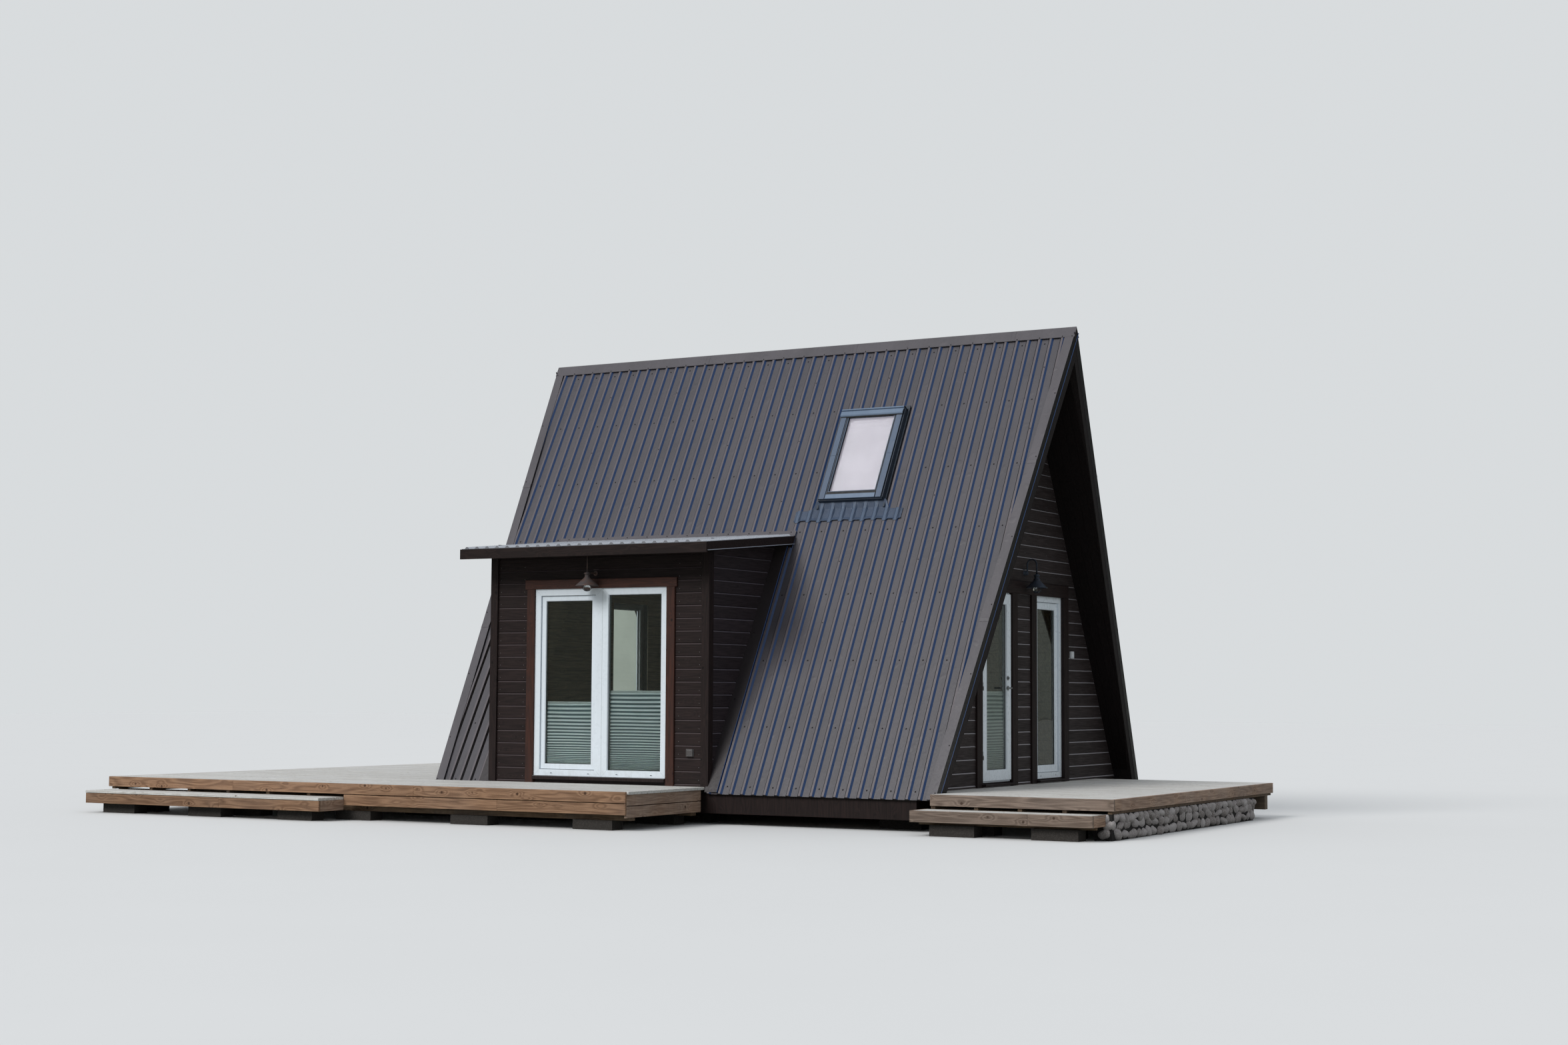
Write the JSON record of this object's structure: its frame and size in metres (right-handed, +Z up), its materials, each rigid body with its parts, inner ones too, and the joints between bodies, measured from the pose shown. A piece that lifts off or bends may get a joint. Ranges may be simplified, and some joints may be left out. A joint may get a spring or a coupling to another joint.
{
  "type": "a-frame cabin",
  "caption": "A-frame cabin with steep ribbed metal roof slopes, a shed-roofed bay with a patio door, a roof window, two glazed gable doors and timber decks.",
  "frame": {"origin": "on the ground under the middle of the ridge, on the centre pier's foot", "axes": "+X along the ridge towards the glazed entrance gable, -Y towards the bay's side, +Z up"},
  "size_m": [12.008, 7.7899, 5.6],
  "materials": {
    "pier_block": "rough cast blocks",
    "skirt_timber": "dark stained boards",
    "floor_timber": "bare planks",
    "wall_board": "dark brown stain on grooved boards",
    "roof_timber": "bare boards",
    "roof_sheet": "dark brown coated sheet, satin",
    "window_cladding": "blue-grey coated metal, satin",
    "glass": "clear double pane",
    "trim_board": "red-brown stain",
    "white_frame": "white, smooth",
    "bare_steel": "satin",
    "deck_board": "pale weathered planks",
    "fascia_timber": "honey-brown grooved planks",
    "fieldstone": "rough, dry laid",
    "aged_copper": "dark aged",
    "dull_metal": "dull galvanised",
    "bulb_glass": "frosted",
    "socket_plastic": "smooth"
  },
  "bodies": {
    "building": {"block_piers": "pier_block", "sill_beams": "skirt_timber", "floor": "floor_timber", "gable_wall_base": "wall_board", "gable_wall_left": "wall_board", "gable_wall_middle": "wall_board", "gable_wall_right": "wall_board", "gable_wall_top": "wall_board", "rear_gable_wall": "wall_board", "front_roof_left": "roof_timber", "front_roof_over_bay": "roof_timber", "front_roof_right": "roof_timber", "back_roof": "roof_timber", "front_roof_sheet": "roof_sheet", "back_roof_sheet": "roof_sheet", "ridge_cap": "roof_sheet", "front_barge_flashings": "roof_sheet", "back_barge_flashings": "roof_sheet", "skylight_frame": "window_cladding", "skylight_glass": "glass", "skylight_flashing": "window_cladding", "bay_wall_left": "wall_board", "bay_wall_right": "wall_board", "bay_wall_over": "wall_board", "bay_wall_under": "wall_board", "bay_cheeks": "wall_board", "bay_roof": "roof_timber", "bay_roof_sheet": "roof_sheet", "bay_fascias": "trim_board", "bay_corner_boards": "trim_board", "door_casings": "trim_board", "bay_door_frame": "white_frame", "bay_fixed_glass": "glass", "entrance_frame": "white_frame", "side_door_frame": "white_frame", "rear_window_frame": "white_frame", "rear_window_glass": "glass", "hinge_pins": "bare_steel", "bay_deck_boards": "deck_board", "rear_deck_boards": "deck_board", "gable_deck_boards": "deck_board", "deck_joists": "fascia_timber", "deck_bearers": "fascia_timber", "deck_fascias": "fascia_timber", "bay_step": "fascia_timber", "gable_step": "fascia_timber", "stone_plinth": "fieldstone", "bay_lamp": "aged_copper", "gable_lamp": "dull_metal", "lamp_bulbs": "bulb_glass", "wall_sockets": "socket_plastic"},
    "bay_leaf_body": {"bay_leaf": "white_frame", "bay_leaf_glass": "glass"},
    "side_leaf_body": {"side_door_leaf": "white_frame", "side_door_glass": "glass"},
    "entrance_leaf_body": {"entrance_leaf": "white_frame", "entrance_glass": "glass", "entrance_handle": "bare_steel"}
  },
  "joints": [
    {"name": "bay_leaf_hinge", "type": "hinge", "parent": "building", "child": "bay_leaf_body", "pos_m": [-1.7635, -2.80088, 1.525], "axis": [0, 0, 1], "range_deg": [0, 90]},
    {"name": "side_door_hinge", "type": "hinge", "parent": "building", "child": "side_leaf_body", "pos_m": [2.8807, 0.9375, 1.5], "axis": [0, 0, -1], "range_deg": [0, 90]},
    {"name": "entrance_hinge", "type": "hinge", "parent": "building", "child": "entrance_leaf_body", "pos_m": [2.9943, -1.30002, 1.5], "axis": [0, 0, -1], "range_deg": [0, 90]}
  ]
}
